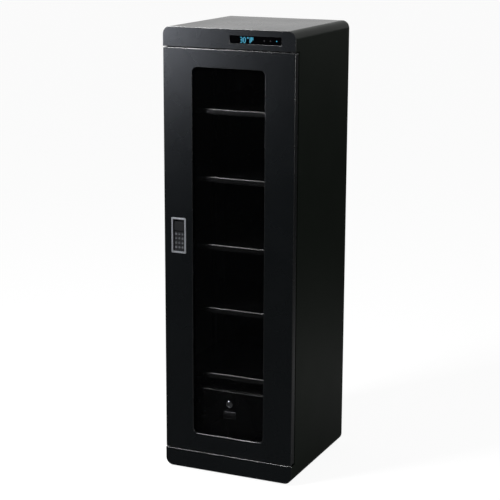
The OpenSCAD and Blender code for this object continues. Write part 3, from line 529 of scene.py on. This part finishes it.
def off_centre(m):
    return math.hypot(m.x - lock_x, m.z - lock_z)


bm = rounded("drawer_lock_plug", (0.25, 2, lambda m: m.y < plug_y + SKIM and off_centre(m) > slit_reach))
# the slit's walls get the black finish: painted shade inside the keyway
for face in bm.faces:
    m = face.calc_center_median() / MM
    if off_centre(m) < slit_reach and plug_y + 0.1 < m.y < plug_y + slit_deep:
        face.material_index = 1
finished("drawer_lock_plug", bm, finish="lock_chrome", extra=("black_plastic",))

# Feet, sensor, rear fittings
soften("feet", (2.0, 4, lambda m: m.z < 1))
vent_back, inlet_back = low_high("rear_vent_cover")[1].y, low_high("power_inlet")[1].y
soften("humidity_sensor", (0.8, 3, lambda m: True))
soften("rear_vent_cover", (0.5, 3, lambda m: m.y > vent_back - SKIM))
soften("power_inlet", (0.6, 3, lambda m: m.y > inlet_back - SKIM))


def solid_boxes(sizes):
    """Boxes given as (low corner, high corner) in mm, in one bmesh."""
    bm = bmesh.new()
    for a, b in sizes:
        place = Matrix.Translation((Vector(a) + Vector(b)) / 2 * MM)
        size = Matrix.Diagonal(((Vector(b) - Vector(a)) * MM).to_4d())
        size[3][3] = 1
        bmesh.ops.create_cube(bm, size=1, matrix=place @ size)
    return bm


def carved(bm, cutter):
    """bm with the solids in cutter taken out of it."""
    made = []
    for name, source in (("body", bm), ("cutter", cutter)):
        mesh = bpy.data.meshes.new(name)
        source.to_mesh(mesh)
        source.free()
        obj = bpy.data.objects.new(name, mesh)
        scene.collection.objects.link(obj)
        made.append(obj)
    cut = made[0].modifiers.new("cut", "BOOLEAN")
    cut.object, cut.solver = made[1], "EXACT"
    bpy.context.view_layer.update()
    result = bmesh.new()
    result.from_mesh(made[0].evaluated_get(bpy.context.evaluated_depsgraph_get()).to_mesh())
    for obj in made:
        bpy.data.objects.remove(obj)
    return result


# Case screws: domed heads with a cross recess
heads, level_slots, upright_slots = bmesh.new(), [], []
low, high = low_high("case_screws")
head_r, rows, arm, half_slot, slot_floor = 3.5, 5, 1.9, 0.35, 0.5
y = low.y
dome = [(0, y + 1.38), (1.4, y + 1.25), (2.5, y + 0.95), (3.2, y + 0.5), (head_r, y + 0.1), (head_r, y), (0, y)]
for x in (low.x + head_r, high.x - head_r):
    for k in range(rows):
        z = low.z + head_r + k * (high.z - low.z - 2 * head_r) / (rows - 1)
        add_solid(heads, lathe(dome, x, z, 28))
        level_slots.append(((x - arm, y + slot_floor, z - half_slot), (x + arm, y + 3, z + half_slot)))
        upright_slots.append(((x - half_slot, y + slot_floor, z - arm), (x + half_slot, y + 3, z + arm)))
arms = carved(carved(heads, solid_boxes(level_slots)), solid_boxes(upright_slots))
piece("screw_heads", arms, "cabinet", "zinc_steel", "case_screws")

# Unlit touch marks right of the figures
marks = bmesh.new()
segments_low, segments_high = low_high("display_segments")
mark_r, mark_pitch, mark_front, mark_back = 1.5, 18.2, front - 0.02, front + 0.05
lit_x, mark_z = segments_high.x - mark_r, (segments_low.z + segments_high.z) / 2
disc = [(0, mark_front), (mark_r, mark_front), (mark_r, mark_back), (0, mark_back)]
for k in (1, 2):
    add_solid(marks, lathe(disc, lit_x - mark_pitch * k, mark_z, 24))
piece("touch_marks", marks, "cabinet", "pale_plastic", finish="dim_mark")


# ---------------------------------------------------------------- floor, world and lamps
def larger(tree, a, b):
    """The larger of two sockets' values."""
    node = tree.nodes.new("ShaderNodeMath")
    node.operation = "MAXIMUM"
    tree.links.new(a, node.inputs[0])
    tree.links.new(b, node.inputs[1])
    return node.outputs[0]


def ray_kinds(tree):
    """Two sockets: 1 for rays from the camera, and 1 for those, for reflections and for rays through glass."""
    path = tree.nodes.new("ShaderNodeLightPath").outputs
    seen = path["Is Camera Ray"]
    for ray in ("Is Glossy Ray", "Is Transmission Ray"):
        seen = larger(tree, seen, path[ray])
    return path["Is Camera Ray"], seen


def pale_floor(reach, centre, glow_level, shaded_level, plain_level):
    """White to the camera apart from a soft shadow, bright in reflections only near the object: out to
    reach metres from centre."""
    bm = bmesh.new()
    bmesh.ops.create_grid(bm, x_segments=2, y_segments=2, size=40)
    mesh = bpy.data.meshes.new("floor")
    bm.to_mesh(mesh)
    bm.free()
    s = Shader("floor")
    camera_ray, seen = ray_kinds(s.tree)
    near = s.add("ShaderNodeTexGradient", gradient_type="QUADRATIC_SPHERE")
    s.link(s.stretched((1 / reach,) * 3, (-centre[0] / reach, -centre[1] / reach, 0)), near.inputs["Vector"])
    plain, shaded = s.add("ShaderNodeBsdfDiffuse"), s.add("ShaderNodeBsdfDiffuse")
    for shade, level in ((plain, plain_level), (shaded, shaded_level)):
        shade.inputs["Color"].default_value = (level, level, level, 1)
    glow = s.add("ShaderNodeEmission")
    s.link(larger(s.tree, s.ramp(near.outputs["Fac"], 0.0, 0.3, 0.0, 1.0),
                  s.ramp(camera_ray, 0.0, glow_level, 0.0, 1.0)), glow.inputs["Strength"])
    white = s.add("ShaderNodeAddShader")
    s.link(shaded.outputs[0], white.inputs[0])
    s.link(glow.outputs[0], white.inputs[1])
    either = s.add("ShaderNodeMixShader")
    s.link(seen, either.inputs[0])
    s.link(plain.outputs[0], either.inputs[1])
    s.link(white.outputs[0], either.inputs[2])
    s.link(either.outputs[0], s.out.inputs["Surface"])
    mesh.materials.append(s.material)
    obj = bpy.data.objects.new("floor", mesh)
    scene.collection.objects.link(obj)


def plain_world(level, room_level, room_edge, backdrop_edge):
    """Even light of the given level. Reflections see a white backdrop behind the object, from backdrop_edge
    on in the direction's y, and a dim room before it, up to room_edge."""
    world = bpy.data.worlds.new("studio")
    world.use_nodes = True
    tree = world.node_tree
    tree.nodes.clear()
    out = tree.nodes.new("ShaderNodeOutputWorld")
    camera_ray, seen = ray_kinds(tree)
    soft, white = (tree.nodes.new("ShaderNodeBackground") for _ in range(2))
    for shade in (soft, white):
        shade.inputs["Color"].default_value = (1, 1, 1, 1)
    soft.inputs["Strength"].default_value = level
    axes = tree.nodes.new("ShaderNodeSeparateXYZ")
    tree.links.new(tree.nodes.new("ShaderNodeTexCoord").outputs["Generated"], axes.inputs[0])
    backdrop = tree.nodes.new("ShaderNodeMapRange")
    values = {"From Min": room_edge, "From Max": backdrop_edge, "To Min": room_level, "To Max": 1.0}
    for socket, value in values.items():
        backdrop.inputs[socket].default_value = value
    tree.links.new(axes.outputs["Y"], backdrop.inputs["Value"])
    tree.links.new(larger(tree, backdrop.outputs["Result"], camera_ray), white.inputs["Strength"])
    both = tree.nodes.new("ShaderNodeMixShader")
    tree.links.new(seen, both.inputs[0])
    tree.links.new(soft.outputs[0], both.inputs[1])
    tree.links.new(white.outputs[0], both.inputs[2])
    tree.links.new(both.outputs[0], out.inputs["Surface"])
    scene.world = world


def softbox(name, place, target, size, power, color=(1, 1, 1)):
    """A rectangular lamp at place that faces target: size in metres, power in watts."""
    data = bpy.data.lights.new(name, "AREA")
    data.shape = "RECTANGLE"
    data.size, data.size_y = size
    data.energy = power
    data.color = color
    lamp = bpy.data.objects.new(name, data)
    scene.collection.objects.link(lamp)
    aim = (Vector(target) - Vector(place)).to_track_quat("-Z", "Y")
    lamp.matrix_world = Matrix.Translation(place) @ aim.to_matrix().to_4x4()
    lamp.visible_camera = False


pale_floor(reach=2.0, centre=(0.6, 0.8), glow_level=0.92, shaded_level=0.12, plain_level=0.8)
plain_world(level=0.32, room_level=0.07, room_edge=-0.2, backdrop_edge=0.4)
softbox("sheen", (-1.33, -1.95, 1.25), (-0.15, -0.2, 1.15), (0.5, 0.6), 24, (0.92, 0.92, 1.0))
softbox("key", (-0.97, -1.35, 2.56), (0, -0.2, 0.8), (0.5, 0.5), 72)
softbox("edge", (2.3, -1.2, 1.15), (0, -0.1, 1.0), (0.3, 0.6), 15)
scene.view_settings.view_transform = "Standard"
